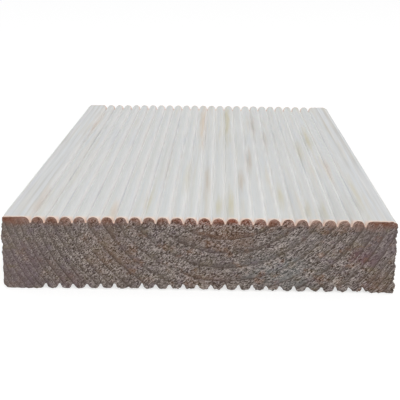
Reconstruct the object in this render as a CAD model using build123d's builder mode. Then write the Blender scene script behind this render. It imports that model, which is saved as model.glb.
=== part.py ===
# Ribbed pine decking board: one sawn and planed piece of wood, a short length cut square at both ends.
# Millimetres. X runs across the board, Y along its grain, Z up. The origin is under the middle of the
# board, on the plane that it rests on.
import os
from math import cos, radians, tan

from build123d import *

# The planed blank
board_width = 142.0
board_thickness = 27.0
board_length = 260.0

# Where the ribbing knives run, the same on both faces
rib_pitch = 5.0
left_land = 10.5  # left edge to the middle of the first groove
least_right_land = 8.0  # the last groove comes no nearer to the right edge than this
underside_skips = 1  # grooves left out at the left of the underside, which widens its land there

# One groove of the walking face: a narrow slot between full round ribs
top_groove_depth = 2.2
top_flank_angle = 15.0  # degrees from upright
top_floor_width = 0.5
top_crest_flat = 0.25  # planed strip left along the crest of each rib

# One groove of the underside: shallower and wider, between flatter ribs
underside_groove_depth = 1.8
underside_flank_angle = 28.0
underside_floor_width = 0.4
underside_crest_flat = 1.0

# The four long arrises, uneven because the blank ran a little off centre through the cutters
top_left_arris = 1.0
top_right_arris = 2.0
bottom_left_arris = 2.5
bottom_right_arris = 1.4

flank_share = 0.95  # a rib's rounding takes up no more than this share of the groove's flank

os.makedirs("parts", exist_ok=True)

groove_count = int((board_width - left_land - least_right_land) // rib_pitch) + 1
groove_stations = [left_land - board_width / 2 + index * rib_pitch for index in range(groove_count)]


def half_opening(depth, flank_angle, floor_width):
    # Half the groove's width at the face, before the ribs are rounded.
    return floor_width / 2 + depth * tan(radians(flank_angle))


def crown_radius(depth, flank_angle, floor_width, crest_flat):
    # The radius that rounds a rib from its flanks up to the flat along its crest.
    crest_width = rib_pitch - 2 * half_opening(depth, flank_angle, floor_width)
    flank_length = depth / cos(radians(flank_angle))
    tangent_length = min((crest_width - crest_flat) / 2, flank_share * flank_length)
    return tangent_length * tan(radians(45 + flank_angle / 2))


def groove_outline(depth, flank_angle, floor_width):
    # The slot's corners, from the face at y = 0 down to its floor at y = -depth.
    opening = half_opening(depth, flank_angle, floor_width)
    return [(-opening, 0), (-floor_width / 2, -depth), (floor_width / 2, -depth), (opening, 0)]


top_groove = (top_groove_depth, top_flank_angle, top_floor_width)
underside_groove = (underside_groove_depth, underside_flank_angle, underside_floor_width)

with BuildPart() as board:
    with BuildSketch(Plane.XZ.offset(-board_length / 2)) as section:
        Rectangle(board_width, board_thickness, align=(Align.CENTER, Align.MIN))

        # Grooves of the walking face, then those of the underside turned over
        with Locations(*[(station, board_thickness) for station in groove_stations]):
            Polygon(*groove_outline(*top_groove), align=None, mode=Mode.SUBTRACT)
        with Locations(*[(station, 0) for station in groove_stations[underside_skips:]]):
            Polygon(*groove_outline(*underside_groove), align=None, rotation=180, mode=Mode.SUBTRACT)

        # Each rib is rounded between its two grooves. The first and last corners are the board's own.
        top_corners = section.vertices().group_by(Axis.Y)[-1].sort_by(Axis.X)
        fillet(top_corners[1:-1], crown_radius(*top_groove, top_crest_flat))
        bottom_corners = section.vertices().group_by(Axis.Y)[0].sort_by(Axis.X)
        fillet(bottom_corners[1:-1], crown_radius(*underside_groove, underside_crest_flat))

        # The long arrises, one corner of the section at a time
        fillet(section.vertices().group_by(Axis.Y)[-1].sort_by(Axis.X)[0], top_left_arris)
        fillet(section.vertices().group_by(Axis.Y)[-1].sort_by(Axis.X)[-1], top_right_arris)
        fillet(section.vertices().group_by(Axis.Y)[0].sort_by(Axis.X)[0], bottom_left_arris)
        fillet(section.vertices().group_by(Axis.Y)[0].sort_by(Axis.X)[-1], bottom_right_arris)

    # The plane stands at the far end and faces the near one.
    extrude(amount=board_length)

board.part.label = "board"
export_step(board.part, "parts/board.step")
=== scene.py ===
import math

import bpy
from mathutils import Matrix, Vector


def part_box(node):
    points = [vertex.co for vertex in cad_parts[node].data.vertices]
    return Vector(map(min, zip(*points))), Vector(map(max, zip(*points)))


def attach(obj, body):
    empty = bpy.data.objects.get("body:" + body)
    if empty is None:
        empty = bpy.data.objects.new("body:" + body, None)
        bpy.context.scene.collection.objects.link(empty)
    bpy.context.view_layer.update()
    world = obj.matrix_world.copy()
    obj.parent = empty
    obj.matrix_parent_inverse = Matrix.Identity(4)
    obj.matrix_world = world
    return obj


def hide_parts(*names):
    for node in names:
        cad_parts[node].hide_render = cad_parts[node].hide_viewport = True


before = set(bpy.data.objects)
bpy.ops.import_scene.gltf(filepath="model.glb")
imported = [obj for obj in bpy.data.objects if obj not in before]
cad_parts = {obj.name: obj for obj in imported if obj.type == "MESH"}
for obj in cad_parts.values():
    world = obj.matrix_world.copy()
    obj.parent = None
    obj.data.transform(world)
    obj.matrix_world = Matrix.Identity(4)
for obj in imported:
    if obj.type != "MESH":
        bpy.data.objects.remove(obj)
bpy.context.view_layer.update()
print("frame loaded:", sorted(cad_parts))

scene = bpy.context.scene
scene.view_settings.view_transform = "Standard"
boardLow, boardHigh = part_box("board")
millimetre = 0.001
boardWidth, boardLength, boardThickness = (boardHigh - boardLow) / millimetre


def linearColour(hexColour):
    # sRGB hex to the linear values that a socket takes
    channels = [int(hexColour[i:i + 2], 16) / 255 for i in (1, 3, 5)]
    linear = [c / 12.92 if c <= 0.04045 else ((c + 0.055) / 1.055) ** 2.4 for c in channels]
    return (*linear, 1.0)


def addNode(tree, kind, inputs=(), **settings):
    # one node with its settings and links; an input is a value, a socket or a node's first output
    node = tree.nodes.new(kind)
    for name, value in settings.items():
        setattr(node, name, value)
    shown = [socket for socket in node.inputs if socket.enabled]
    for key, value in inputs.items() if isinstance(inputs, dict) else enumerate(inputs):
        socket = node.inputs[key] if isinstance(key, str) else shown[key]
        if isinstance(value, bpy.types.Node):
            value = next(output for output in value.outputs if output.enabled)
        if isinstance(value, bpy.types.NodeSocket):
            tree.links.new(value, socket)
        elif value is not None:
            socket.default_value = value
    return node


# Growth rings: one field in millimetres, the same for the shape of the sawn ends and for every colour
rings = {
    "pith": (9.5, 0.0, 50.0),           # the tree's middle, above the walking face
    "youngWidth": 8.0,                  # ring width beside the pith, as in fast-grown pine
    "oldWidth": 3.7,                    # and 85 mm out, where the tree had slowed down
    "oldRadius": 85.0,
    "slowRadius": 56.0,                 # from here outwards it slowed down further
    "slowWidth": 2.2,                   # to this width, at the old radius
    "firstShare": 0.23,                 # share of a ring at which the count starts
    "wanderSize": (30.0, 240.0, 30.0),  # rings sway this slowly across and along the board
    "wanderReach": 0.9,
    "wobbleSize": (5.0, 90.0, 5.0),     # and wobble a little over shorter distances
    "wobbleReach": 1.0,
    "seasonSize": 8.0,                  # good and poor years differ over this much radius
    "seasonReach": 0.3,
    "latewoodStart": 0.45,              # share of a ring at which the wood begins to darken
    "latewoodFull": 0.8,
    "latewoodEnd": 0.96,                # then next spring's pale wood starts at once
}


def addRings(tree, place):
    # distance from the pith, the share of the ring that has grown there, and how dense the wood is
    swayed = place
    for name in ("wander", "wobble"):
        slow = addNode(tree, "ShaderNodeVectorMath", [place, rings[name + "Size"]], operation="DIVIDE")
        sway = addNode(tree, "ShaderNodeTexNoise", {"Vector": slow, "Scale": 1.0, "Detail": 1.0})
        centred = addNode(tree, "ShaderNodeVectorMath", [sway.outputs[1], (0.5, 0.5, 0.5)],
                          operation="SUBTRACT")
        reach = addNode(tree, "ShaderNodeVectorMath", {0: centred, "Scale": rings[name + "Reach"]},
                        operation="SCALE")
        swayed = addNode(tree, "ShaderNodeVectorMath", [swayed, reach], operation="ADD")
    fromPith = addNode(tree, "ShaderNodeVectorMath", [swayed, rings["pith"]], operation="SUBTRACT")
    across = addNode(tree, "ShaderNodeVectorMath", [fromPith, (1.0, 0.0, 1.0)], operation="MULTIPLY")
    radius = addNode(tree, "ShaderNodeVectorMath", [across], operation="LENGTH")
    sides = addNode(tree, "ShaderNodeSeparateXYZ", [across])
    turn = addNode(tree, "ShaderNodeMath", [sides.outputs[0], sides.outputs[2]], operation="ARCTAN2")
    arc = addNode(tree, "ShaderNodeMath", [turn, radius], operation="MULTIPLY")
    years = addNode(tree, "ShaderNodeMath", [radius, rings["seasonSize"]], operation="DIVIDE")
    season = addNode(tree, "ShaderNodeTexNoise", {"W": years, "Scale": 1.0, "Detail": 1.0},
                     noise_dimensions="1D")
    uneven = addNode(tree, "ShaderNodeMath", [season, rings["seasonReach"], rings["firstShare"]],
                     operation="MULTIPLY_ADD")
    youngRate = 1 / rings["youngWidth"]
    gain = (1 / rings["oldWidth"] - youngRate) / (2 * rings["oldRadius"])
    rate = addNode(tree, "ShaderNodeMath", [radius, gain, youngRate], operation="MULTIPLY_ADD")
    grown = addNode(tree, "ShaderNodeMath", [radius, rate], operation="MULTIPLY")
    slowReach = rings["oldRadius"] - rings["slowRadius"]
    slowGain = (1 / rings["slowWidth"] - 1 / rings["oldWidth"]) / (2 * slowReach)
    beyond = addNode(tree, "ShaderNodeMath", [radius, rings["slowRadius"]], operation="SUBTRACT")
    outer = addNode(tree, "ShaderNodeMath", [beyond, 0.0], operation="MAXIMUM")
    outerSquare = addNode(tree, "ShaderNodeMath", [outer, outer], operation="MULTIPLY")
    slowed = addNode(tree, "ShaderNodeMath", [outerSquare, slowGain, grown], operation="MULTIPLY_ADD")
    count = addNode(tree, "ShaderNodeMath", [slowed, uneven], operation="ADD")
    share = addNode(tree, "ShaderNodeMath", [count], operation="FRACT")
    rise = addNode(tree, "ShaderNodeMapRange",
                   [share, rings["latewoodStart"], rings["latewoodFull"], 0.0, 1.0],
                   interpolation_type="SMOOTHSTEP")
    fall = addNode(tree, "ShaderNodeMapRange", [share, rings["latewoodEnd"], 1.0, 1.0, 0.0])
    latewood = addNode(tree, "ShaderNodeMath", [rise, fall], operation="MULTIPLY")
    return {"radius": radius, "arc": arc, "share": share, "latewood": latewood}


def addGrain(tree, place, size, detail=2.0, roughness=0.55):
    # noise whose features measure size millimetres along X, Y and Z
    scaled = addNode(tree, "ShaderNodeVectorMath", [place, size], operation="DIVIDE")
    return addNode(tree, "ShaderNodeTexNoise",
                   {"Vector": scaled, "Scale": 1.0, "Detail": detail, "Roughness": roughness})


def addNearness(tree, across, middle, reach, inside, outside):
    # goes from one value to another with the distance in X from one place
    away = addNode(tree, "ShaderNodeMath", [across, middle], operation="SUBTRACT")
    apart = addNode(tree, "ShaderNodeMath", [away], operation="ABSOLUTE")
    return addNode(tree, "ShaderNodeMapRange", [apart, *reach, inside, outside])


def startMaterial(name):
    # an empty material and the place on the board in millimetres
    material = bpy.data.materials.new(name)
    material.use_nodes = True
    tree = material.node_tree
    tree.nodes.clear()
    coordinates = addNode(tree, "ShaderNodeTexCoord")
    place = addNode(tree, "ShaderNodeVectorMath",
                    {0: coordinates.outputs["Object"], "Scale": 1 / millimetre}, operation="SCALE")
    return material, tree, place


# Planed pine: pale, dry and almost without shine; latewood that comes to the surface makes tan streaks
planed = {
    "crest": "#cacccb",               # greyed by feet and weather on the crests of the ribs
    "land": "#cfd0d1",                # the plain lands beside them have bleached instead
    "landFrom": (58.0, 64.0),         # mm from the middle at which they take over
    "groove": "#eeedec",              # painted light in the grooves, paler than the crests so that their shade hardly shows
    "rightGrooveLit": "#f6f6f5",         # more painted light in the grooves at the right
    "rightFrom": (-35.0, 45.0),
    # mm of groove depth over which that painted light comes in
    "paintedLightDepth": 1.4,
    "topReach": (0.4, 2.0),           # mm below the outline over which the walking face's tones end
    "paintedFlankShade": 0.12,                # painted shade on the flanks that face right there, against the lamp's light on them
    "flankShadeAcross": (8.0, 36.0),
    "flankShadeAlong": (-110.0, 20.0),
    "farPaler": 0.025,                # the far end has kept a little paler
    "farFrom": (20.0, 120.0),
    "side": "#d8d3c8",                # edges and underside, which see less weather
    "sideRings": 0.75,                # how clearly the rings show there
    "topRings": 0.15,
    "landRings": 0.55,                # and on the two plain lands
    "patchSize": (20.0, 110.0, 20.0),  # they are clear in patches
    "latewood": "#c3b79f",
    "greyLatewood": "#b4b0a6",        # on the walking face it has greyed
    "streak": "#cdc1a8",
    "streakSize": (2.4, 85.0, 2.4),
    "streakShare": 0.41,
    "streakAcross": (-30.0, 10.0),    # more of them on the right
    "coolStreak": "#c3cbd4",          # sapwood that has begun to turn blue
    "coolSize": (1.5, 55.0, 1.5),
    "coolShare": 0.3,
    "fibreSize": (0.4, 24.0, 0.4),
    "grainSize": (0.75, 60.0, 0.75),  # coarser lines on the edges and the underside
    "grainDepth": 0.1,
    "landGrain": 0.06,                # fainter on the lands
    "edgeFuzzAndHighlight": "#e9cebd",          # crushed fibres beside the saw cut, on the walking face, partly a painted highlight
    "fuzzAndHighlightReach": 2.4,               # mm along the crests
    "grooveHighlightReach": 6.0,              # and this much further down in the grooves, where it is painted light on their shade
    "tan": "#cbb296",
    "olive": "#c2ba9a",
    "brown": "#b5a695",
    "grey": "#bcbcb8",
    "tongueDepth": 4.0,               # mm below the walking face
    "waveSize": (1.2, 30.0, 3.0),     # fibres that fray the tongues
    "glowDepth": 1.3,                 # mm that light spreads through the dry wood
    "roughness": 0.75,
}
# single tongues of latewood on the walking face: tone, middle in X and Y, half width and length, strength
tongues = (
    ("tan", (-2.0, 80.0), (2.8, 120.0), 0.6),
    ("olive", (11.0, 75.0), (2.4, 85.0), 0.85),
    ("brown", (24.5, 75.0), (2.8, 60.0), 0.4),
    ("brown", (29.5, 26.0), (2.0, 36.0), 0.35),
    ("olive", (51.0, 32.0), (2.8, 45.0), 0.65),
    ("olive", (45.0, 0.0), (2.4, 40.0), 0.5),
    ("brown", (20.5, -26.0), (2.2, 42.0), 0.58),
    ("brown", (16.2, -69.0), (2.0, 32.0), 0.62),
    ("brown", (2.0, -70.0), (1.8, 54.0), 0.7),
    ("olive", (-6.5, -62.0), (1.8, 46.0), 0.38),
    ("olive", (-19.5, -104.0), (1.9, 46.0), 0.5),
    ("olive", (11.4, -108.0), (2.0, 36.0), 0.8),
    ("olive", (7.0, -112.0), (1.8, 25.0), 0.75),
    ("tan", (-59.5, 70.0), (2.6, 60.0), 0.5),
    ("tan", (-31.5, -120.0), (2.0, 24.0), 0.5),
    ("tan", (-61.0, -104.0), (2.2, 36.0), 0.5),
    ("olive", (31.0, -92.0), (2.2, 36.0), 0.6),
    ("olive", (40.0, -114.0), (1.8, 22.0), 0.5),
    ("olive", (46.0, -114.0), (1.8, 22.0), 0.6),
    ("olive", (61.0, -95.0), (1.8, 60.0), 0.45),
    ("tan", (54.0, -36.0), (2.2, 40.0), 0.45),
    ("grey", (51.0, -115.0), (18.0, 70.0), 0.4),
)


def addTongue(tree, place, wavy, colour, tongue):
    # a streak with pointed ends, which the wavy fibres fray
    tone, middle, half, strength = tongue
    away = addNode(tree, "ShaderNodeVectorMath", [place, (*middle, boardThickness)],
                   operation="SUBTRACT")
    shares = addNode(tree, "ShaderNodeVectorMath", [away, (*half, planed["tongueDepth"])],
                     operation="DIVIDE")
    out = addNode(tree, "ShaderNodeVectorMath", [shares], operation="LENGTH")
    frayed = addNode(tree, "ShaderNodeMath", [wavy, 1.2, out], operation="MULTIPLY_ADD")
    share = addNode(tree, "ShaderNodeMapRange", [frayed, 0.5, 1.6, strength, 0.0],
                    interpolation_type="SMOOTHSTEP")
    return addNode(tree, "ShaderNodeMix", [share, colour, linearColour(planed[tone])], data_type="RGBA")


def planedPine():
    material, tree, place = startMaterial("planed pine")
    ring = addRings(tree, place)
    depth = addNode(tree, "ShaderNodeAttribute", attribute_name="grooveDepth")
    below = addNode(tree, "ShaderNodeAttribute", attribute_name="belowTop")
    under = addNode(tree, "ShaderNodeMath", [below.outputs["Fac"], depth.outputs["Fac"]],
                    operation="SUBTRACT")
    onTop = addNode(tree, "ShaderNodeMapRange", [under, *planed["topReach"], 1.0, 0.0],
                    interpolation_type="SMOOTHSTEP")
    # painted light: the deeper in a groove, the paler the colour, against the grooves' shade
    deep = addNode(tree, "ShaderNodeMapRange",
                   [depth.outputs["Fac"], 0.0, planed["paintedLightDepth"], 0.0, 1.0])
    inGroove = addNode(tree, "ShaderNodeMath", [deep, onTop], operation="MULTIPLY")
    sides = addNode(tree, "ShaderNodeSeparateXYZ", [place])
    toRight = addNode(tree, "ShaderNodeMapRange", [sides.outputs[0], *planed["rightFrom"], 0.0, 1.0])
    paintedGrooveLight = addNode(tree, "ShaderNodeMix",
                    [toRight, linearColour(planed["groove"]), linearColour(planed["rightGrooveLit"])],
                    data_type="RGBA")
    onLand = addNearness(tree, sides.outputs[0], 0.0, planed["landFrom"], 0.0, 1.0)
    worn = addNode(tree, "ShaderNodeMix",
                   [onLand, linearColour(planed["crest"]), linearColour(planed["land"])],
                   data_type="RGBA")
    ribs = addNode(tree, "ShaderNodeMix", [inGroove, worn, paintedGrooveLight], data_type="RGBA")
    # painted shade: flanks that face right are darkened towards the right and the far end
    rightFacing = addNode(tree, "ShaderNodeAttribute", attribute_name="rightFlank")
    flankShadeRight = addNode(tree, "ShaderNodeMapRange",
                        [sides.outputs[0], *planed["flankShadeAcross"], 0.0, planed["paintedFlankShade"]])
    flankShadeFar = addNode(tree, "ShaderNodeMapRange", [sides.outputs[1], *planed["flankShadeAlong"], 0.4, 1.0])
    flankShadeShare = addNode(tree, "ShaderNodeMath", [flankShadeRight, flankShadeFar], operation="MULTIPLY")
    flankShade = addNode(tree, "ShaderNodeMath", [rightFacing.outputs["Fac"], flankShadeShare], operation="MULTIPLY")
    unshadedShare = addNode(tree, "ShaderNodeMath", [1.0, flankShade], operation="SUBTRACT")
    flankShaded = addNode(tree, "ShaderNodeVectorMath", {0: ribs, "Scale": unshadedShare}, operation="SCALE")
    base = addNode(tree, "ShaderNodeMix", [onTop, linearColour(planed["side"]), flankShaded],
                   data_type="RGBA")
    # rings that come to the surface
    patch = addGrain(tree, place, planed["patchSize"])
    patchShare = addNode(tree, "ShaderNodeMapRange", [patch, 0.38, 0.62, 0.25, 1.0],
                         interpolation_type="SMOOTHSTEP")
    topClear = addNode(tree, "ShaderNodeMix", [onLand, planed["topRings"], planed["landRings"]],
                       data_type="FLOAT")
    clear = addNode(tree, "ShaderNodeMix", [onTop, planed["sideRings"], topClear], data_type="FLOAT")
    ringClear = addNode(tree, "ShaderNodeMath", [patchShare, clear], operation="MULTIPLY")
    ringShare = addNode(tree, "ShaderNodeMath", [ring["latewood"], ringClear], operation="MULTIPLY")
    dense = addNode(tree, "ShaderNodeMix",
                    [onTop, linearColour(planed["latewood"]), linearColour(planed["greyLatewood"])],
                    data_type="RGBA")
    ringed = addNode(tree, "ShaderNodeMix", [ringShare, base, dense], data_type="RGBA")
    # beige and bluish streaks
    streak = addGrain(tree, place, planed["streakSize"])
    streakShare = addNode(tree, "ShaderNodeMapRange", [streak, 0.5, 0.72, 0.0, planed["streakShare"]],
                          interpolation_type="SMOOTHSTEP")
    outside = addNode(tree, "ShaderNodeMath", [inGroove, -0.6, 1.0], operation="MULTIPLY_ADD")
    streakOut = addNode(tree, "ShaderNodeMath", [streakShare, outside], operation="MULTIPLY")
    rightward = addNode(tree, "ShaderNodeMapRange",
                        [sides.outputs[0], *planed["streakAcross"], 0.5, 0.7])
    streakRight = addNode(tree, "ShaderNodeMath", [streakOut, rightward], operation="MULTIPLY")
    streaked = addNode(tree, "ShaderNodeMix", [streakRight, ringed, linearColour(planed["streak"])],
                       data_type="RGBA")
    cool = addGrain(tree, place, planed["coolSize"])
    coolShare = addNode(tree, "ShaderNodeMapRange", [cool, 0.5, 0.7, 0.0, planed["coolShare"]],
                        interpolation_type="SMOOTHSTEP")
    coolTop = addNode(tree, "ShaderNodeMath", [coolShare, onTop], operation="MULTIPLY")
    figured = addNode(tree, "ShaderNodeMix", [coolTop, streaked, linearColour(planed["coolStreak"])],
                      data_type="RGBA")
    wavy = addGrain(tree, place, planed["waveSize"])
    for tongue in tongues:
        figured = addTongue(tree, place, wavy, figured, tongue)
    # fine fibres and coarser grain
    fibre = addGrain(tree, place, planed["fibreSize"])
    fibreTone = addNode(tree, "ShaderNodeMapRange", [fibre, 0.25, 0.75, 0.95, 1.05])
    grain = addGrain(tree, place, planed["grainSize"])
    plainer = addNode(tree, "ShaderNodeMapRange", [onTop, 0.0, 1.0, planed["grainDepth"], 0.0])
    grainShare = addNode(tree, "ShaderNodeMath", [onLand, planed["landGrain"], plainer],
                         operation="MULTIPLY_ADD")
    grainSwing = addNode(tree, "ShaderNodeMapRange", [grain, 0.3, 0.7, -1.0, 1.0])
    grainTone = addNode(tree, "ShaderNodeMath", [grainSwing, grainShare, fibreTone],
                        operation="MULTIPLY_ADD")
    paler = addNode(tree, "ShaderNodeMapRange",
                    [sides.outputs[1], *planed["farFrom"], 0.0, planed["farPaler"]])
    tone = addNode(tree, "ShaderNodeMath", [grainTone, paler], operation="ADD")
    toned = addNode(tree, "ShaderNodeVectorMath", {0: figured, "Scale": tone}, operation="SCALE")
    # edge of the saw cut: pale crushed fibres and a painted highlight, reaching further into the grooves
    along = addNode(tree, "ShaderNodeMath", [sides.outputs[1]], operation="ABSOLUTE")
    toEnd = addNode(tree, "ShaderNodeMath", [boardLength / 2, along], operation="SUBTRACT")
    reach = addNode(tree, "ShaderNodeMath", [inGroove, planed["grooveHighlightReach"], planed["fuzzAndHighlightReach"]],
                    operation="MULTIPLY_ADD")
    edgeFuzzAndHighlightShare = addNode(tree, "ShaderNodeMapRange", [toEnd, 0.3, reach, 0.85, 0.0],
                     interpolation_type="SMOOTHSTEP")
    edgeFuzzAndHighlightTop = addNode(tree, "ShaderNodeMath", [edgeFuzzAndHighlightShare, onTop], operation="MULTIPLY")
    colour = addNode(tree, "ShaderNodeMix", [edgeFuzzAndHighlightTop, toned, linearColour(planed["edgeFuzzAndHighlight"])],
                     data_type="RGBA")
    bump = addNode(tree, "ShaderNodeBump",
                   {"Height": fibre, "Strength": 0.35, "Distance": 0.12 * millimetre})
    surface = addNode(tree, "ShaderNodeBsdfPrincipled", {
        "Base Color": colour, "Normal": bump, "Roughness": planed["roughness"], "IOR": 1.45,
        "Specular IOR Level": 0.25, "Subsurface Weight": 1.0, "Subsurface Radius": (1.0, 0.98, 0.95),
        "Subsurface Scale": planed["glowDepth"] * millimetre})
    addNode(tree, "ShaderNodeOutputMaterial", {"Surface": surface})
    return material


# Sawn end grain: the saw drags soft spring wood into grey-brown fuzz and leaves the dense rings smoother
sawn = {
    "earlywood": "#7a6f69",
    "latewood": "#6b615c",
    "spring": "#958a84",              # the first wood of each year
    "ringLine": "#54473f",
    "lineFrom": (0.81, 0.93),         # share of a ring over which its closing line darkens
    "lineShare": 0.76,                # how dark that is, where it is clear
    "lineMiddle": -5.0,               # it is clearest away from the middle
    "lineReach": (15.0, 45.0),
    "lineLeft": (-70.0, -52.0),       # and fades at the left edge
    "pitAndShade": "#30251e",                 # torn holes look red-brown inside, their darkness partly painted shade
    "tipAndHighlight": "#b8aea9",                 # and the frayed tips of the fibres pale grey, partly a painted highlight
    "clumpSize": (9.0, 30.0, 7.0),    # fibres tear in clumps
    "rust": "#84634e",
    "rustAcross": (-60.0, -15.0),     # less of it at the left
    "spotSize": (5.0, 30.0, 4.0),
    "olive": "#7f735c",               # resin and mould tint small patches
    "mauve": "#7d6f77",
    "tintSize": (4.5, 40.0, 3.5),
    "ribEnd": "#9a7364",              # the outer skin has gone red-brown
    "ribDark": "#774a38",             # more so on some ribs
    "ribRed": "#965640",              # reddest above the middle
    "redMiddle": 9.0,
    "redReach": (8.0, 30.0),
    "ribPale": "#b8988a",             # while it has bleached on ribs at the right
    "paleMiddle": 44.0,
    "paleReach": (5.0, 17.0),
    "ribEndDepth": 4.0,               # mm below the crests of the ribs
    "raggedSize": (4.0, 20.0, 2.0),   # how raggedly the skin ends
    "raggedReach": 3.4,
    # crushed wood along the outline, partly a painted highlight
    "rimAndHighlight": "#b39c8c",
    "sawSlant": 40.0,                 # degrees that the dragged fibres lean to the right
    "strokeSize": (0.72, 4.0, 0.23),
    "strokeAcross": (-25.0, 25.0),
    "fuzzSize": (0.27, 4.0, 0.24),
    "dragSize": (0.95, 4.0, 0.25),    # fibres pulled along the rings, at the right
    "dragAcross": (-10.0, 30.0),
    "coarseSize": (0.52, 4.0, 0.42),  # coarser wood near the pith
    "coarseRadius": (30.0, 46.0),
    "entryContrast": 0.74,            # the saw enters cleanly at the left
    "middleContrast": 2.4,            # tears further on
    "exitContrast": 0.83,             # and this share of that at the right
    "exitAcross": (5.0, 35.0),
    "calm": (66.0, 0.0, 20.0),        # the saw ran smoothly through the dense wood here
    "calmReach": (15.0, 1.0, 11.0),
    "roughness": 0.9,
}
# patches of other tones that run through along the grain: tone, middle and reach in X and Z, strength
stains = (
    ("#80634a", (-33.0, 14.0), (15.0, 15.0), 0.4),
    ("#7b573f", (9.0, 22.0), (17.0, 8.0), 0.6),
    ("#7c5e4a", (2.0, 4.0), (13.0, 5.0), 0.5),
    ("#7e7f7d", (31.0, 8.5), (21.0, 10.0), 0.95),
    ("#827b77", (38.0, 19.0), (17.0, 7.0), 0.7),
    ("#77565e", (59.0, 13.5), (8.0, 5.0), 0.75),
    ("#726165", (-63.0, 9.0), (12.0, 14.0), 0.7),
    ("#6f6265", (67.0, 19.0), (12.0, 10.0), 0.7),
    ("#755f5f", (-47.0, 3.0), (9.0, 6.0), 0.65),
    ("#785b48", (64.0, 4.0), (9.0, 6.0), 0.5),
)


def addStain(tree, place, ragged, colour, stain):
    # a soft patch whose edge the torn clumps break up
    tone, middle, reach, strength = stain
    away = addNode(tree, "ShaderNodeVectorMath", [place, (middle[0], 0.0, middle[1])],
                   operation="SUBTRACT")
    shares = addNode(tree, "ShaderNodeVectorMath", [away, (1 / reach[0], 0.0, 1 / reach[1])],
                     operation="MULTIPLY")
    out = addNode(tree, "ShaderNodeVectorMath", [shares], operation="LENGTH")
    edge = addNode(tree, "ShaderNodeMath", [ragged, 1.0, out], operation="MULTIPLY_ADD")
    share = addNode(tree, "ShaderNodeMapRange", [edge, 0.6, 1.5, strength, 0.0],
                    interpolation_type="SMOOTHSTEP")
    return addNode(tree, "ShaderNodeMix", [share, colour, linearColour(tone)], data_type="RGBA")


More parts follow.
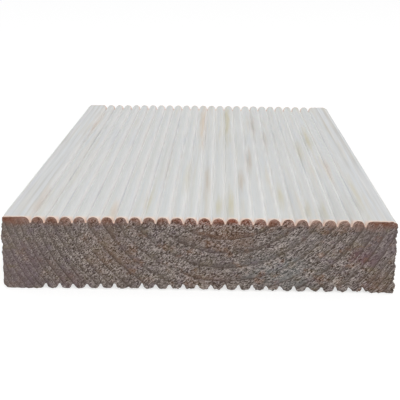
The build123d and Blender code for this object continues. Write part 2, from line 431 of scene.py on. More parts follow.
def sawnEndGrain():
    material, tree, place = startMaterial("sawn end grain pine")
    ring = addRings(tree, place)
    sides = addNode(tree, "ShaderNodeSeparateXYZ", [place])
    sawWise = addNode(tree, "ShaderNodeVectorRotate", {
        "Vector": place, "Angle": math.radians(sawn["sawSlant"])}, rotation_type="Y_AXIS")
    strokes = addGrain(tree, sawWise, sawn["strokeSize"], roughness=0.6)
    fuzz = addGrain(tree, place, sawn["fuzzSize"], roughness=0.6)
    clumps = addGrain(tree, place, sawn["clumpSize"], detail=3.0)
    colour = addNode(tree, "ShaderNodeMix",
                     [ring["latewood"], linearColour(sawn["earlywood"]), linearColour(sawn["latewood"])],
                     data_type="RGBA")
    for stain in stains:
        colour = addStain(tree, place, clumps, colour, stain)
    toSpring = addNode(tree, "ShaderNodeMapRange", [ring["share"], 0.0, 0.3, 0.5, 0.0])
    sprung = addNode(tree, "ShaderNodeMix", [toSpring, colour, linearColour(sawn["spring"])],
                     data_type="RGBA")
    spot = addGrain(tree, place, sawn["spotSize"], detail=4.0, roughness=0.65)
    toRust = addNode(tree, "ShaderNodeMapRange", [spot, 0.52, 0.72, 0.0, 0.9],
                     interpolation_type="SMOOTHSTEP")
    lessLeft = addNode(tree, "ShaderNodeMapRange", [sides.outputs[0], *sawn["rustAcross"], 0.35, 1.0])
    rustShare = addNode(tree, "ShaderNodeMath", [toRust, lessLeft], operation="MULTIPLY")
    tinted = addNode(tree, "ShaderNodeMix", [rustShare, sprung, linearColour(sawn["rust"])],
                     data_type="RGBA")
    tint = addGrain(tree, place, sawn["tintSize"], detail=4.0, roughness=0.65)
    for tone, start, full in (("olive", 0.53, 0.68), ("mauve", 0.47, 0.32)):
        tintShare = addNode(tree, "ShaderNodeMapRange", [tint, start, full, 0.0, 0.5],
                            interpolation_type="SMOOTHSTEP")
        tinted = addNode(tree, "ShaderNodeMix", [tintShare, tinted, linearColour(sawn[tone])],
                         data_type="RGBA")
    # the ends of the ribs and of the two lands
    below = addNode(tree, "ShaderNodeAttribute", attribute_name="belowTop")
    ragged = addGrain(tree, place, sawn["raggedSize"], detail=3.0)
    toDark = addNode(tree, "ShaderNodeMapRange", [spot, 0.4, 0.62, 0.0, 0.9])
    skin = addNode(tree, "ShaderNodeMix",
                   [toDark, linearColour(sawn["ribEnd"]), linearColour(sawn["ribDark"])],
                   data_type="RGBA")
    redNear = addNearness(tree, sides.outputs[0], sawn["redMiddle"], sawn["redReach"], 1.0, 0.0)
    redSpot = addNode(tree, "ShaderNodeMapRange", [clumps, 0.4, 0.6, 0.2, 1.0])
    toRed = addNode(tree, "ShaderNodeMath", [redNear, redSpot], operation="MULTIPLY")
    reddened = addNode(tree, "ShaderNodeMix", [toRed, skin, linearColour(sawn["ribRed"])],
                       data_type="RGBA")
    toPale = addNearness(tree, sides.outputs[0], sawn["paleMiddle"], sawn["paleReach"], 0.7, 0.0)
    paled = addNode(tree, "ShaderNodeMix", [toPale, reddened, linearColour(sawn["ribPale"])],
                    data_type="RGBA")
    sunk = addNode(tree, "ShaderNodeMath", [ragged, -sawn["raggedReach"], below.outputs["Fac"]],
                   operation="MULTIPLY_ADD")
    toSkin = addNode(tree, "ShaderNodeMapRange", [sunk, -1.4, sawn["ribEndDepth"] - 1.4, 1.0, 0.0],
                     interpolation_type="SMOOTHSTEP")
    skinned = addNode(tree, "ShaderNodeMix", [toSkin, tinted, paled], data_type="RGBA")
    # torn holes and frayed tips: dark specks partly painted shade in the holes, pale specks partly
    # painted highlight on the tips
    coarse = addGrain(tree, place, sawn["coarseSize"], roughness=0.6)
    young = addNode(tree, "ShaderNodeMapRange", [ring["radius"], *sawn["coarseRadius"], 0.9, 0.0])
    coarser = addNode(tree, "ShaderNodeMix", [young, fuzz, coarse], data_type="FLOAT")
    strokeShare = addNode(tree, "ShaderNodeMapRange",
                          [sides.outputs[0], *sawn["strokeAcross"], 0.5, 0.75])
    torn = addNode(tree, "ShaderNodeMix", [strokeShare, coarser, strokes], data_type="FLOAT")
    ringWise = addNode(tree, "ShaderNodeCombineXYZ", [ring["arc"], sides.outputs[1], ring["radius"]])
    drags = addGrain(tree, ringWise, sawn["dragSize"], roughness=0.6)
    dragShare = addNode(tree, "ShaderNodeMapRange", [sides.outputs[0], *sawn["dragAcross"], 0.1, 0.4])
    dragged = addNode(tree, "ShaderNodeMix", [dragShare, torn, drags], data_type="FLOAT")
    centred = addNode(tree, "ShaderNodeMath", [dragged, 0.5], operation="SUBTRACT")
    # weaker in the dense wood, in the skin, where the saw entered and where it ran smoothly
    hold = addNode(tree, "ShaderNodeMapRange", [ring["latewood"], 0.0, 1.0, 7.0, 3.6])
    patchy = addNode(tree, "ShaderNodeMapRange", [clumps, 0.3, 0.7, 0.5, 1.45])
    inSkin = addNode(tree, "ShaderNodeMapRange", [toSkin, 0.0, 1.0, 1.0, 0.7])
    held = addNode(tree, "ShaderNodeMath", [hold, inSkin], operation="MULTIPLY")
    contrast = addNode(tree, "ShaderNodeMath", [held, patchy], operation="MULTIPLY")
    entry = addNode(tree, "ShaderNodeMapRange",
                    [sides.outputs[0], -boardWidth / 2, -boardWidth / 8,
                     sawn["entryContrast"], sawn["middleContrast"]])
    leaving = addNode(tree, "ShaderNodeMapRange",
                      [sides.outputs[0], *sawn["exitAcross"], 1.0, sawn["exitContrast"]])
    sawWay = addNode(tree, "ShaderNodeMath", [entry, leaving], operation="MULTIPLY")
    entered = addNode(tree, "ShaderNodeMath", [contrast, sawWay], operation="MULTIPLY")
    toCalm = addNode(tree, "ShaderNodeVectorMath", [place, sawn["calm"]], operation="SUBTRACT")
    calmShares = addNode(tree, "ShaderNodeVectorMath", [toCalm, sawn["calmReach"]], operation="DIVIDE")
    calmAcross = addNode(tree, "ShaderNodeVectorMath", [calmShares, (1.0, 0.0, 1.0)],
                         operation="MULTIPLY")
    calmOut = addNode(tree, "ShaderNodeVectorMath", [calmAcross], operation="LENGTH")
    calm = addNode(tree, "ShaderNodeMapRange", [calmOut, 0.5, 1.2, 0.6, 1.0],
                   interpolation_type="SMOOTHSTEP")
    strength = addNode(tree, "ShaderNodeMath", [entered, calm], operation="MULTIPLY")
    swing = addNode(tree, "ShaderNodeMath", [centred, strength], operation="MULTIPLY")
    toPitAndShade = addNode(tree, "ShaderNodeMapRange", [swing, 0.05, -0.85, 0.0, 0.9])
    pitAndShaded = addNode(tree, "ShaderNodeMix", [toPitAndShade, skinned, linearColour(sawn["pitAndShade"])],
                     data_type="RGBA")
    toTipAndHighlight = addNode(tree, "ShaderNodeMapRange", [swing, 0.05, 1.3, 0.0, 0.9])
    tipAndHighlighted = addNode(tree, "ShaderNodeMix", [toTipAndHighlight, pitAndShaded, linearColour(sawn["tipAndHighlight"])],
                     data_type="RGBA")
    # the dark line that closes each ring, cut clean, but clear in some places only
    line = addNode(tree, "ShaderNodeMapRange",
                   [ring["share"], *sawn["lineFrom"], 0.0, sawn["lineShare"]],
                   interpolation_type="SMOOTHSTEP")
    clear = addNode(tree, "ShaderNodeMapRange", [clumps, 0.35, 0.65, 1.0, 0.42])
    clean = addNearness(tree, sides.outputs[0], sawn["lineMiddle"], sawn["lineReach"], 0.6, 1.0)
    clearest = addNode(tree, "ShaderNodeMath", [clear, clean], operation="MULTIPLY")
    edgeClean = addNode(tree, "ShaderNodeMapRange", [sides.outputs[0], *sawn["lineLeft"], 0.4, 1.0])
    skinClean = addNode(tree, "ShaderNodeMapRange", [toSkin, 0.0, 1.0, 1.0, 0.35])
    cleanest = addNode(tree, "ShaderNodeMath", [edgeClean, skinClean], operation="MULTIPLY")
    lineClear = addNode(tree, "ShaderNodeMath", [line, clearest], operation="MULTIPLY")
    lineShare = addNode(tree, "ShaderNodeMath", [lineClear, cleanest], operation="MULTIPLY")
    lined = addNode(tree, "ShaderNodeMix", [lineShare, tipAndHighlighted, linearColour(sawn["ringLine"])],
                    data_type="RGBA")
    broad = addNode(tree, "ShaderNodeMapRange", [clumps, 0.3, 0.7, 0.91, 1.07])
    upper = addNode(tree, "ShaderNodeMapRange", [below.outputs["Fac"], 2.0, 9.0, 0.945, 1.0])
    tone = addNode(tree, "ShaderNodeMath", [broad, upper], operation="MULTIPLY")
    toned = addNode(tree, "ShaderNodeVectorMath", {0: lined, "Scale": tone}, operation="SCALE")
    # pale rim of crushed wood along the outline, partly a painted highlight on the edge
    groove = addNode(tree, "ShaderNodeAttribute", attribute_name="grooveDepth")
    inside = addNode(tree, "ShaderNodeMath", [below.outputs["Fac"], groove.outputs["Fac"]],
                     operation="SUBTRACT")
    rimAndHighlightReach = addNode(tree, "ShaderNodeMapRange", [ragged, 0.35, 0.65, 0.1, 1.0])
    toRimAndHighlight = addNode(tree, "ShaderNodeMapRange", [inside, 0.0, rimAndHighlightReach, 0.6, 0.0])
    rimAndHighlighted = addNode(tree, "ShaderNodeMix", [toRimAndHighlight, toned, linearColour(sawn["rimAndHighlight"])],
                     data_type="RGBA")
    # relief too fine for the mesh
    bump = addNode(tree, "ShaderNodeBump",
                   {"Height": dragged, "Strength": 0.8, "Distance": 0.3 * millimetre})
    surface = addNode(tree, "ShaderNodeBsdfPrincipled", {
        "Base Color": rimAndHighlighted, "Normal": bump, "Roughness": sawn["roughness"], "IOR": 1.45,
        "Specular IOR Level": 0.15})
    addNode(tree, "ShaderNodeOutputMaterial", {"Surface": surface})
    return material


# The board's own sizes in millimetres and degrees: ribs on both faces, arrises, cup and sawn ends
board = {
    "width": boardWidth,
    "length": boardLength,
    "thickness": boardThickness,
    "rib pitch": 5.0,
    "first groove": 10.5,        # from the left edge
    "top depth": 2.2,
    "top flank": 15.0,
    "top floor": 0.5,
    "top crest": 0.25,
    "bottom depth": 1.8,
    "bottom flank": 28.0,
    "bottom floor": 0.4,
    "bottom crest": 1.0,
    "top left arris": 1.0,
    "top right arris": 2.0,
    "bottom left arris": 2.5,
    "bottom right arris": 1.4,
    "cup": 0.44,                 # the middle stands this much higher
    "rib waver": 0.07,           # crests rise and fall a little along the board
    "tear depth": 0.3,           # torn spring wood on the sawn ends
    "ring ridge": 0.14,          # dense rings stand proud there
    "ragged edge": 0.85,         # fibres broken out of the lower edges by the saw
    "ragged reach": 5.0,
    "edge sway": 0.4,            # the two sides wander in and out beside the saw cut
    "crest chips": 0.15,         # small breaks in the ribs' crests there
    "clogged": 0.8,              # share of one underside groove that torn wood fills at the near end
    "clog reach": 9.0,
}
grooveCount = 25
cloggedGroove = 7                # counted from the left, the first is 0
skippedUnderneath = 1            # grooves left out at the left of the underside
cells = {"rib": 15, "land": 20, "length": 30, "height": 78}  # mesh cells per rib, land, length, height
landEase = 1.5                   # cells get shorter towards the two edges
endEase = 1.9                    # and towards the sawn ends
creaseAngle = 50.0               # degrees from which an edge shades as sharp
# noise sizes and reaches of the relief in millimetres
relief = {
    "tearSize": (0.9, 4.0, 0.8),
    "chipSize": (0.9, 6.0, 0.75),
    "chipAcross": (-65.0, 65.0),   # the saw broke out most where it left the wood, at the right
    "crestReach": 2.5,
    "swaySize": (5.0, 12.0, 4.0),
    "swayReach": 14.0,
    "sideReach": 4.0,
    "waverSize": (4.0, 55.0, 30.0),
}


def crownRadius(face):
    # the radius that rounds a rib from its flanks up to the flat of its crest
    flank = math.radians(board[face + " flank"])
    opening = board[face + " floor"] / 2 + board[face + " depth"] * math.tan(flank)
    tangent = (board["rib pitch"] - 2 * opening - board[face + " crest"]) / 2
    return tangent * math.tan(math.radians(45) + flank / 2)


def addRound(tree, reach, radius):
    # how far a quarter round of that radius has dropped, reach millimetres in from where it starts
    inside = addNode(tree, "ShaderNodeMath", [reach, 0.0], operation="MAXIMUM")
    reachSquare = addNode(tree, "ShaderNodeMath", [inside, inside], operation="MULTIPLY")
    radiusSquare = addNode(tree, "ShaderNodeMath", [radius, radius], operation="MULTIPLY")
    left = addNode(tree, "ShaderNodeMath", [radiusSquare, reachSquare], operation="SUBTRACT")
    leftOver = addNode(tree, "ShaderNodeMath", [left, 0.0], operation="MAXIMUM")
    height = addNode(tree, "ShaderNodeMath", [leftOver], operation="SQRT")
    return addNode(tree, "ShaderNodeMath", [radius, height], operation="SUBTRACT")


def addGroove(tree, sizes, face, offset):
    # depth of one face's groove, offset millimetres from the groove's middle
    halfCrest = addNode(tree, "ShaderNodeMath", [sizes[face + " crest"], 0.5], operation="MULTIPLY")
    halfPitch = addNode(tree, "ShaderNodeMath", [sizes["rib pitch"], 0.5], operation="MULTIPLY")
    crownStart = addNode(tree, "ShaderNodeMath", [halfPitch, halfCrest], operation="SUBTRACT")
    reach = addNode(tree, "ShaderNodeMath", [crownStart, offset], operation="SUBTRACT")
    crown = addRound(tree, reach, sizes[face + " crown"])
    flank = addNode(tree, "ShaderNodeMath", [sizes[face + " flank"]], operation="RADIANS")
    slope = addNode(tree, "ShaderNodeMath", [flank], operation="TANGENT")
    halfFloor = addNode(tree, "ShaderNodeMath", [sizes[face + " floor"], 0.5], operation="MULTIPLY")
    beyond = addNode(tree, "ShaderNodeMath", [offset, halfFloor], operation="SUBTRACT")
    beyondFloor = addNode(tree, "ShaderNodeMath", [beyond, 0.0], operation="MAXIMUM")
    climb = addNode(tree, "ShaderNodeMath", [beyondFloor, slope], operation="DIVIDE")
    straight = addNode(tree, "ShaderNodeMath", [sizes[face + " depth"], climb], operation="SUBTRACT")
    lean = addNode(tree, "ShaderNodeMath", [flank], operation="COSINE")
    crownReach = addNode(tree, "ShaderNodeMath", [sizes[face + " crown"], lean], operation="MULTIPLY")
    onCrown = addNode(tree, "ShaderNodeMath", [reach, crownReach], operation="LESS_THAN")
    return addNode(tree, "ShaderNodeMix", [onCrown, straight, crown], data_type="FLOAT")


def boardTree():
    tree = bpy.data.node_groups.new("ribbed board", "GeometryNodeTree")
    values = dict(board)
    values["top crown"] = crownRadius("top")
    values["bottom crown"] = crownRadius("bottom")
    for name, value in values.items():
        tree.interface.new_socket(name=name, in_out="INPUT", socket_type="NodeSocketFloat")
    for name in ("planed", "sawn"):
        tree.interface.new_socket(name=name, in_out="INPUT", socket_type="NodeSocketMaterial")
    tree.interface.new_socket(name="Geometry", in_out="OUTPUT", socket_type="NodeSocketGeometry")
    sizes = addNode(tree, "NodeGroupInput").outputs

    # a block of cells, which the next nodes spread over the section
    columns = 2 * cells["land"] + cells["rib"] * grooveCount
    block = addNode(tree, "GeometryNodeMeshCube", {
        "Size": (1.0, 1.0, 1.0), "Vertices X": columns + 1, "Vertices Y": cells["length"] + 1,
        "Vertices Z": cells["height"] + 1})
    start = addNode(tree, "GeometryNodeInputPosition")
    share = addNode(tree, "ShaderNodeVectorMath", [start, (0.5, 0.5, 0.5)], operation="ADD")
    shares = addNode(tree, "ShaderNodeSeparateXYZ", [share])

    # across: left land, ribs, right land
    column = addNode(tree, "ShaderNodeMath", [shares.outputs[0], float(columns)], operation="MULTIPLY")
    halfPitch = addNode(tree, "ShaderNodeMath", [sizes["rib pitch"], 0.5], operation="MULTIPLY")
    leftLand = addNode(tree, "ShaderNodeMath", [sizes["first groove"], halfPitch], operation="SUBTRACT")
    ribbed = addNode(tree, "ShaderNodeMath", [sizes["rib pitch"], float(grooveCount)],
                     operation="MULTIPLY")
    notLeft = addNode(tree, "ShaderNodeMath", [sizes["width"], leftLand], operation="SUBTRACT")
    rightLand = addNode(tree, "ShaderNodeMath", [notLeft, ribbed], operation="SUBTRACT")
    leftShare = addNode(tree, "ShaderNodeMapRange", [column, 0.0, float(cells["land"]), 0.0, 1.0])
    leftEased = addNode(tree, "ShaderNodeMath", [leftShare, landEase], operation="POWER")
    leftPart = addNode(tree, "ShaderNodeMath", [leftEased, leftLand], operation="MULTIPLY")
    rightShare = addNode(tree, "ShaderNodeMapRange",
                         [column, float(columns), float(columns - cells["land"]), 0.0, 1.0])
    rightEased = addNode(tree, "ShaderNodeMath", [rightShare, landEase], operation="POWER")
    rightRest = addNode(tree, "ShaderNodeMath", [1.0, rightEased], operation="SUBTRACT")
    rightPart = addNode(tree, "ShaderNodeMath", [rightRest, rightLand], operation="MULTIPLY")
    ribNumber = addNode(tree, "ShaderNodeMapRange",
                        [column, float(cells["land"]), float(columns - cells["land"]),
                         0.0, float(grooveCount)])
    ribWhole = addNode(tree, "ShaderNodeMath", [ribNumber], operation="FLOOR")
    ribShare = addNode(tree, "ShaderNodeMath", [ribNumber], operation="FRACT")
    fromMiddle = addNode(tree, "ShaderNodeMath", [ribShare, 2.0, -1.0], operation="MULTIPLY_ADD")
    sideways = addNode(tree, "ShaderNodeMath", [fromMiddle], operation="SIGN")
    spread = addNode(tree, "ShaderNodeMath", [fromMiddle], operation="ABSOLUTE")
    # cells follow the groove's floor, its flank, the rounded rib and the crest
    step = 1 / cells["rib"]
    floorShare = addNode(tree, "ShaderNodeMapRange", [spread, 0.0, step, 0.0, 1.0])
    halfFloor = addNode(tree, "ShaderNodeMath", [sizes["top floor"], 0.5], operation="MULTIPLY")
    floorPart = addNode(tree, "ShaderNodeMath", [floorShare, halfFloor], operation="MULTIPLY")
    flank = addNode(tree, "ShaderNodeMath", [sizes["top flank"]], operation="RADIANS")
    lean = addNode(tree, "ShaderNodeMath", [flank], operation="COSINE")
    crownReach = addNode(tree, "ShaderNodeMath", [sizes["top crown"], lean], operation="MULTIPLY")
    halfCrest = addNode(tree, "ShaderNodeMath", [sizes["top crest"], 0.5], operation="MULTIPLY")
    crownStart = addNode(tree, "ShaderNodeMath", [halfPitch, halfCrest], operation="SUBTRACT")
    flankEnd = addNode(tree, "ShaderNodeMath", [crownStart, crownReach], operation="SUBTRACT")
    flankWidth = addNode(tree, "ShaderNodeMath", [flankEnd, halfFloor], operation="SUBTRACT")
    flankShare = addNode(tree, "ShaderNodeMapRange", [spread, step, 3 * step, 0.0, 1.0])
    flankPart = addNode(tree, "ShaderNodeMath", [flankShare, flankWidth], operation="MULTIPLY")
    quarter = addNode(tree, "ShaderNodeMath", [math.pi / 2, flank], operation="SUBTRACT")
    crownShare = addNode(tree, "ShaderNodeMapRange", [spread, 3 * step, 1 - 2 * step, 1.0, 0.0])
    crownTurn = addNode(tree, "ShaderNodeMath", [crownShare, quarter], operation="MULTIPLY")
    crownSine = addNode(tree, "ShaderNodeMath", [crownTurn], operation="SINE")
    crownLeft = addNode(tree, "ShaderNodeMath", [crownSine, sizes["top crown"]], operation="MULTIPLY")
    crownPart = addNode(tree, "ShaderNodeMath", [crownReach, crownLeft], operation="SUBTRACT")
    crestShare = addNode(tree, "ShaderNodeMapRange", [spread, 1 - 2 * step, 1.0, 0.0, 1.0])
    crestPart = addNode(tree, "ShaderNodeMath", [crestShare, halfCrest], operation="MULTIPLY")
    lower = addNode(tree, "ShaderNodeMath", [floorPart, flankPart], operation="ADD")
    upper = addNode(tree, "ShaderNodeMath", [crownPart, crestPart], operation="ADD")
    offset = addNode(tree, "ShaderNodeMath", [lower, upper], operation="ADD")
    # the sides of the ribs that face right, for their painted shade
    facesRight = addNode(tree, "ShaderNodeMapRange", [sideways, -0.5, 0.5, 1.0, 0.0])
    halfCrown = addNode(tree, "ShaderNodeMath", [sizes["top crown"], -0.5, crownStart],
                        operation="MULTIPLY_ADD")
    tilted = addNode(tree, "ShaderNodeMapRange", [offset, crownStart, halfCrown, 0.0, 1.0])
    rightFlank = addNode(tree, "ShaderNodeMath", [facesRight, tilted], operation="MULTIPLY")
    # distance from the two edges
    ribMiddle = addNode(tree, "ShaderNodeMath", [ribWhole, sizes["rib pitch"], halfPitch],
                        operation="MULTIPLY_ADD")
    ribPart = addNode(tree, "ShaderNodeMath", [offset, sideways, ribMiddle], operation="MULTIPLY_ADD")
    lands = addNode(tree, "ShaderNodeMath", [leftPart, rightPart], operation="ADD")
    fromLeft = addNode(tree, "ShaderNodeMath", [lands, ribPart], operation="ADD")
    fromRight = addNode(tree, "ShaderNodeMath", [sizes["width"], fromLeft], operation="SUBTRACT")
    x = addNode(tree, "ShaderNodeMath", [sizes["width"], -0.5, fromLeft], operation="MULTIPLY_ADD")

    # along: cells are short near the sawn ends
    endways = addNode(tree, "ShaderNodeMath", [shares.outputs[1], 2.0, -1.0], operation="MULTIPLY_ADD")
    endSign = addNode(tree, "ShaderNodeMath", [endways], operation="SIGN")
    endShare = addNode(tree, "ShaderNodeMath", [endways], operation="ABSOLUTE")
    inShare = addNode(tree, "ShaderNodeMath", [1.0, endShare], operation="SUBTRACT")
    inEased = addNode(tree, "ShaderNodeMath", [inShare, endEase], operation="POWER")
    outEased = addNode(tree, "ShaderNodeMath", [1.0, inEased], operation="SUBTRACT")
    halfLength = addNode(tree, "ShaderNodeMath", [sizes["length"], 0.5], operation="MULTIPLY")
    reachOut = addNode(tree, "ShaderNodeMath", [outEased, halfLength], operation="MULTIPLY")
    y = addNode(tree, "ShaderNodeMath", [reachOut, endSign], operation="MULTIPLY")
    alongNear = addNode(tree, "ShaderNodeMath", [y, halfLength], operation="ADD")

    # up: from the underside's outline to that of the walking face
    outline = {}
    for face in ("top", "bottom"):
        depth = addGroove(tree, sizes, face, offset)
        if face == "top":
            topDepth = depth
        else:
            kept = addNode(tree, "ShaderNodeMath", [ribNumber, skippedUnderneath - 0.001],
                           operation="GREATER_THAN")
            depth = addNode(tree, "ShaderNodeMath", [depth, kept], operation="MULTIPLY")
            fromClog = addNode(tree, "ShaderNodeMath", [ribWhole, float(cloggedGroove)],
                               operation="SUBTRACT")
            isClog = addNode(tree, "ShaderNodeMath", [fromClog, 0.0, 0.1], operation="COMPARE")
            toClog = addNode(tree, "ShaderNodeMapRange",
                             [alongNear, 0.0, sizes["clog reach"], sizes["clogged"], 0.0],
                             interpolation_type="SMOOTHSTEP")
            fill = addNode(tree, "ShaderNodeMath", [isClog, toClog], operation="MULTIPLY")
            leftOpen = addNode(tree, "ShaderNodeMath", [1.0, fill], operation="SUBTRACT")
            depth = addNode(tree, "ShaderNodeMath", [depth, leftOpen], operation="MULTIPLY")
        for side, edge in (("left", fromLeft), ("right", fromRight)):
            arris = sizes[f"{face} {side} arris"]
            reach = addNode(tree, "ShaderNodeMath", [arris, edge], operation="SUBTRACT")
            eased = addRound(tree, reach, arris)
            depth = addNode(tree, "ShaderNodeMath", [depth, eased], operation="ADD")
        outline[face] = depth
    roof = addNode(tree, "ShaderNodeMath", [sizes["thickness"], outline["top"]], operation="SUBTRACT")
    height = addNode(tree, "ShaderNodeMath", [roof, outline["bottom"]], operation="SUBTRACT")
    flat = addNode(tree, "ShaderNodeMath", [shares.outputs[2], height, outline["bottom"]],
                   operation="MULTIPLY_ADD")
    halfWidth = addNode(tree, "ShaderNodeMath", [sizes["width"], 0.5], operation="MULTIPLY")
    xShare = addNode(tree, "ShaderNodeMath", [x, halfWidth], operation="DIVIDE")
    xSquare = addNode(tree, "ShaderNodeMath", [xShare, xShare], operation="MULTIPLY")
    bow = addNode(tree, "ShaderNodeMath", [1.0, xSquare], operation="SUBTRACT")
    z = addNode(tree, "ShaderNodeMath", [bow, sizes["cup"], flat], operation="MULTIPLY_ADD")

    # what the materials and the relief read
    normal = addNode(tree, "GeometryNodeInputNormal")
    normalSides = addNode(tree, "ShaderNodeSeparateXYZ", [normal])
    facing = addNode(tree, "ShaderNodeMath", [normalSides.outputs[1]], operation="ABSOLUTE")
    isEnd = addNode(tree, "FunctionNodeCompare", [facing, 0.5], data_type="FLOAT",
                    operation="GREATER_THAN")
    below = addNode(tree, "ShaderNodeMath", [sizes["thickness"], flat], operation="SUBTRACT")
    marked = addNode(tree, "GeometryNodeStoreNamedAttribute",
                     {"Geometry": block, "Name": "sawnFace", "Value": isEnd},
                     data_type="BOOLEAN", domain="FACE")
    for name, value in (("grooveDepth", topDepth), ("belowTop", below), ("riseShare", shares.outputs[2]),
                        ("rightFlank", rightFlank)):
        marked = addNode(tree, "GeometryNodeStoreNamedAttribute",
                         {"Geometry": marked, "Name": name, "Value": value},
                         data_type="FLOAT", domain="POINT")
    section = addNode(tree, "ShaderNodeCombineXYZ", [x, y, z])
    placed = addNode(tree, "GeometryNodeSetPosition", {"Geometry": marked, "Position": section})
    edgeAngle = addNode(tree, "GeometryNodeInputMeshEdgeAngle")
    isSharp = addNode(tree, "FunctionNodeCompare", [edgeAngle, math.radians(creaseAngle)],
                      data_type="FLOAT", operation="GREATER_THAN")
    creased = addNode(tree, "GeometryNodeStoreNamedAttribute",
                      {"Geometry": placed, "Name": "crease", "Value": isSharp},
                      data_type="BOOLEAN", domain="EDGE")

    # relief of the sawn ends, still in millimetres
    place = addNode(tree, "GeometryNodeInputPosition")
    placeSides = addNode(tree, "ShaderNodeSeparateXYZ", [place])
    ring = addRings(tree, place)
    alongAbs = addNode(tree, "ShaderNodeMath", [placeSides.outputs[1]], operation="ABSOLUTE")
    alongSign = addNode(tree, "ShaderNodeMath", [placeSides.outputs[1]], operation="SIGN")
    toEnd = addNode(tree, "ShaderNodeMath", [halfLength, alongAbs], operation="SUBTRACT")
    atEnd = addNode(tree, "ShaderNodeMath", [toEnd, 0.01], operation="LESS_THAN")
    tearNoise = addGrain(tree, place, relief["tearSize"], roughness=0.6)
    tear = addNode(tree, "ShaderNodeMapRange", [tearNoise, 0.3, 0.7, 1.0, 0.0])
    tearDeep = addNode(tree, "ShaderNodeMath", [tear, sizes["tear depth"]], operation="MULTIPLY")
    spring = addNode(tree, "ShaderNodeMath", [1.0, ring["latewood"]], operation="SUBTRACT")
    ridgeDeep = addNode(tree, "ShaderNodeMath", [spring, sizes["ring ridge"], tearDeep],
                        operation="MULTIPLY_ADD")
    inward = addNode(tree, "ShaderNodeMath", [ridgeDeep, atEnd], operation="MULTIPLY")
    yMove = addNode(tree, "ShaderNodeMath", [inward, alongSign], operation="MULTIPLY")
    yBack = addNode(tree, "ShaderNodeMath", [yMove, -1.0], operation="MULTIPLY")
    # edges that the saw broke out
    nearEnd = addNode(tree, "ShaderNodeMapRange", [toEnd, 0.0, sizes["ragged reach"], 1.0, 0.0])
    chipNoise = addGrain(tree, place, relief["chipSize"], detail=3.0)
    chip = addNode(tree, "ShaderNodeMapRange", [chipNoise, 0.42, 0.7, 0.0, 1.0])
    chipDeep = addNode(tree, "ShaderNodeMath", [chip, sizes["ragged edge"]], operation="MULTIPLY")
    chipNear = addNode(tree, "ShaderNodeMath", [chipDeep, nearEnd], operation="MULTIPLY")
    sawExit = addNode(tree, "ShaderNodeMapRange",
                      [placeSides.outputs[0], *relief["chipAcross"], 0.3, 1.0])
    chipOut = addNode(tree, "ShaderNodeMath", [chipNear, sawExit], operation="MULTIPLY")
    riseShare = addNode(tree, "GeometryNodeInputNamedAttribute", {"Name": "riseShare"},
                        data_type="FLOAT")
    low = addNode(tree, "ShaderNodeMapRange", [riseShare, 0.0, 0.1, 1.0, 0.0])
    chipUp = addNode(tree, "ShaderNodeMath", [chipOut, low], operation="MULTIPLY")
    swayNoise = addGrain(tree, place, relief["swaySize"])
    swayOut = addNode(tree, "ShaderNodeMapRange", [swayNoise, 0.3, 0.7, -1.0, 1.0])
    swayNear = addNode(tree, "ShaderNodeMapRange",
                       [toEnd, 0.0, relief["swayReach"], sizes["edge sway"], 0.0])
    sway = addNode(tree, "ShaderNodeMath", [swayOut, swayNear], operation="MULTIPLY")
    swayed = addNode(tree, "ShaderNodeMath", [sway, chipOut], operation="SUBTRACT")
    xAbs = addNode(tree, "ShaderNodeMath", [placeSides.outputs[0]], operation="ABSOLUTE")
    xSign = addNode(tree, "ShaderNodeMath", [placeSides.outputs[0]], operation="SIGN")
    xIn = addNode(tree, "ShaderNodeMath", [halfWidth, xAbs], operation="SUBTRACT")
    outer = addNode(tree, "ShaderNodeMapRange", [xIn, 0.0, relief["sideReach"], 1.0, 0.0])
    chipSide = addNode(tree, "ShaderNodeMath", [swayed, outer], operation="MULTIPLY")
    xMove = addNode(tree, "ShaderNodeMath", [chipSide, xSign], operation="MULTIPLY")
    # crests that rise and fall, and chip beside the saw cut
    waverNoise = addGrain(tree, place, relief["waverSize"], detail=1.0)
    waver = addNode(tree, "ShaderNodeMapRange", [waverNoise, 0.3, 0.7, -1.0, 0.0])
    waverDeep = addNode(tree, "ShaderNodeMath", [waver, sizes["rib waver"]], operation="MULTIPLY")
    high = addNode(tree, "ShaderNodeMapRange", [riseShare, 0.9, 1.0, 0.0, 1.0])
    crestNear = addNode(tree, "ShaderNodeMapRange",
                        [toEnd, 0.0, relief["crestReach"], sizes["crest chips"], 0.0])
    crestChip = addNode(tree, "ShaderNodeMath", [chip, crestNear], operation="MULTIPLY")
    crestDeep = addNode(tree, "ShaderNodeMath", [waverDeep, crestChip], operation="SUBTRACT")
    zMove = addNode(tree, "ShaderNodeMath", [crestDeep, high, chipUp], operation="MULTIPLY_ADD")
    move = addNode(tree, "ShaderNodeCombineXYZ", [xMove, yBack, zMove])
    rough = addNode(tree, "GeometryNodeSetPosition", {"Geometry": creased, "Offset": move})

    # metres, shading and materials
    inMetres = addNode(tree, "GeometryNodeTransform", {
        "Geometry": rough, "Scale": (millimetre, millimetre, millimetre)})
    crease = addNode(tree, "GeometryNodeInputNamedAttribute", {"Name": "crease"}, data_type="BOOLEAN")
    smooth = addNode(tree, "FunctionNodeBooleanMath", [crease], operation="NOT")
    shadedFaces = addNode(tree, "GeometryNodeSetShadeSmooth", [inMetres, True, True], domain="FACE")
    shaded = addNode(tree, "GeometryNodeSetShadeSmooth", [shadedFaces, True, smooth], domain="EDGE")
    whole = addNode(tree, "GeometryNodeRealizeInstances", [shaded])
    faced = addNode(tree, "GeometryNodeSetMaterial", {"Geometry": whole, "Material": sizes["planed"]})
    sawnFace = addNode(tree, "GeometryNodeInputNamedAttribute", {"Name": "sawnFace"},
                       data_type="BOOLEAN")
    ended = addNode(tree, "GeometryNodeSetMaterial",
                    {"Geometry": faced, "Selection": sawnFace, "Material": sizes["sawn"]})
    addNode(tree, "NodeGroupOutput", [ended])
    return tree, values


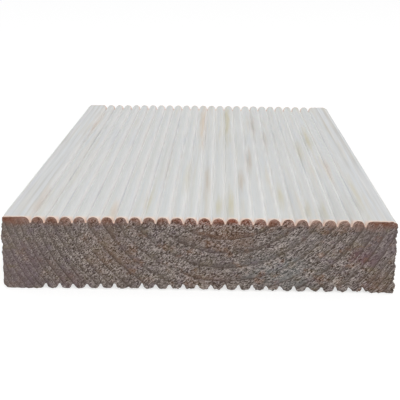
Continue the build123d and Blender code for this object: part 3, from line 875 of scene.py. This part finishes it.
def makeBoard():
    tree, values = boardTree()
    maker = bpy.data.objects.new("boardMaker", bpy.data.meshes.new("boardMaker"))
    scene.collection.objects.link(maker)
    modifier = maker.modifiers.new("ribbed board", "NODES")
    modifier.node_group = tree
    values["planed"] = planedPine()
    values["sawn"] = sawnEndGrain()
    for item in tree.interface.items_tree:
        if item.in_out == "INPUT":
            modifier[item.identifier] = values[item.name]
    evaluated = maker.evaluated_get(bpy.context.evaluated_depsgraph_get())
    mesh = bpy.data.meshes.new_from_object(evaluated)
    mesh.materials.pop(index=0)  # the block of cells starts with an empty slot
    maker.modifiers.remove(modifier)
    bpy.data.objects.remove(maker)
    mesh.name = "pine_board"
    piece = bpy.data.objects.new("pine_board", mesh)
    scene.collection.objects.link(piece)
    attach(piece, "root")
    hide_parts("board")
    return piece


pineBoard = makeBoard()
print("board made:", len(pineBoard.data.polygons), "faces", [m.name for m in pineBoard.data.materials])

# White studio: an even sky, one soft lamp and a pale floor that shows white around its shadow
studio = {
    "sky": "#ffffff",
    "skyStrength": 0.68,
    "lampPlace": (0.4, -1.55, 1.5),
    "lampSize": 1.4,
    "lampPower": 18.0,
    "floor": "#e7e7e7",
    "floorShown": "#a8a8a8",    # what the camera sees of the floor's own shading
    "floorGlow": 0.7,           # and what is added to make that white
    "floorHalf": 8.0,
}


def addSeen(tree):
    # 1 for what the camera sees, directly, in gloss or through glass
    path = addNode(tree, "ShaderNodeLightPath")
    seen = path.outputs["Is Camera Ray"]
    for ray in ("Is Glossy Ray", "Is Transmission Ray"):
        seen = addNode(tree, "ShaderNodeMath", [seen, path.outputs[ray]], operation="MAXIMUM")
    return seen


def makeStudio():
    world = bpy.data.worlds.new("studio sky")
    scene.world = world
    world.use_nodes = True
    tree = world.node_tree
    tree.nodes.clear()
    light = addNode(tree, "ShaderNodeBackground", [linearColour(studio["sky"]), studio["skyStrength"]])
    white = addNode(tree, "ShaderNodeBackground", [linearColour("#ffffff"), 1.0])
    sky = addNode(tree, "ShaderNodeMixShader", [addSeen(tree), light, white])
    addNode(tree, "ShaderNodeOutputWorld", {"Surface": sky})

    lampData = bpy.data.lights.new("soft lamp", "AREA")
    lampData.shape = "DISK"
    lampData.size = studio["lampSize"]
    lampData.energy = studio["lampPower"]
    lamp = bpy.data.objects.new("softLamp", lampData)
    scene.collection.objects.link(lamp)
    lamp.location = studio["lampPlace"]
    lamp.rotation_euler = Vector(studio["lampPlace"]).to_track_quat("Z", "Y").to_euler()

    half = studio["floorHalf"]
    mesh = bpy.data.meshes.new("floor")
    corners = [(-half, -half, 0), (half, -half, 0), (half, half, 0), (-half, half, 0)]
    mesh.from_pydata(corners, [], [(0, 1, 2, 3)])
    floor = bpy.data.objects.new("floor", mesh)
    scene.collection.objects.link(floor)
    material = bpy.data.materials.new("white studio floor")
    material.use_nodes = True
    tree = material.node_tree
    tree.nodes.clear()
    plain = addNode(tree, "ShaderNodeBsdfDiffuse", [linearColour(studio["floor"])])
    shade = addNode(tree, "ShaderNodeBsdfDiffuse", [linearColour(studio["floorShown"])])
    glow = addNode(tree, "ShaderNodeEmission", [linearColour("#ffffff"), studio["floorGlow"]])
    shown = addNode(tree, "ShaderNodeAddShader", [shade, glow])
    surface = addNode(tree, "ShaderNodeMixShader", [addSeen(tree), plain, shown])
    addNode(tree, "ShaderNodeOutputMaterial", {"Surface": surface})
    mesh.materials.append(material)


makeStudio()
print("studio lit")

# The camera stands low in front of the sawn end; angles in degrees, place in millimetres
view = {
    "place": (6.964, -489.315, 123.991),
    "yaw": -1.057,
    "pitch": 14.043,     # downwards
    "roll": 0.514,
    "focalPixels": 1042.87,
    "framePixels": 400,
    "sensor": 36.0,
}


def makeCamera():
    yaw, pitch, roll = (math.radians(view[name]) for name in ("yaw", "pitch", "roll"))
    level = math.cos(pitch)
    forward = Vector((math.sin(yaw) * level, math.cos(yaw) * level, -math.sin(pitch)))
    sideways = Vector((math.cos(yaw), -math.sin(yaw), 0.0))
    upright = sideways.cross(forward)
    right = math.cos(roll) * sideways + math.sin(roll) * upright
    up = -math.sin(roll) * sideways + math.cos(roll) * upright
    data = bpy.data.cameras.new("camera")
    data.sensor_width = view["sensor"]
    data.lens = view["sensor"] * view["focalPixels"] / view["framePixels"]
    data.clip_start = 0.01
    camera = bpy.data.objects.new("camera", data)
    scene.collection.objects.link(camera)
    turn = Matrix((right, up, -forward)).transposed()
    camera.matrix_world = Matrix.Translation(Vector(view["place"]) * millimetre) @ turn.to_4x4()
    scene.camera = camera


makeCamera()
print("camera placed")
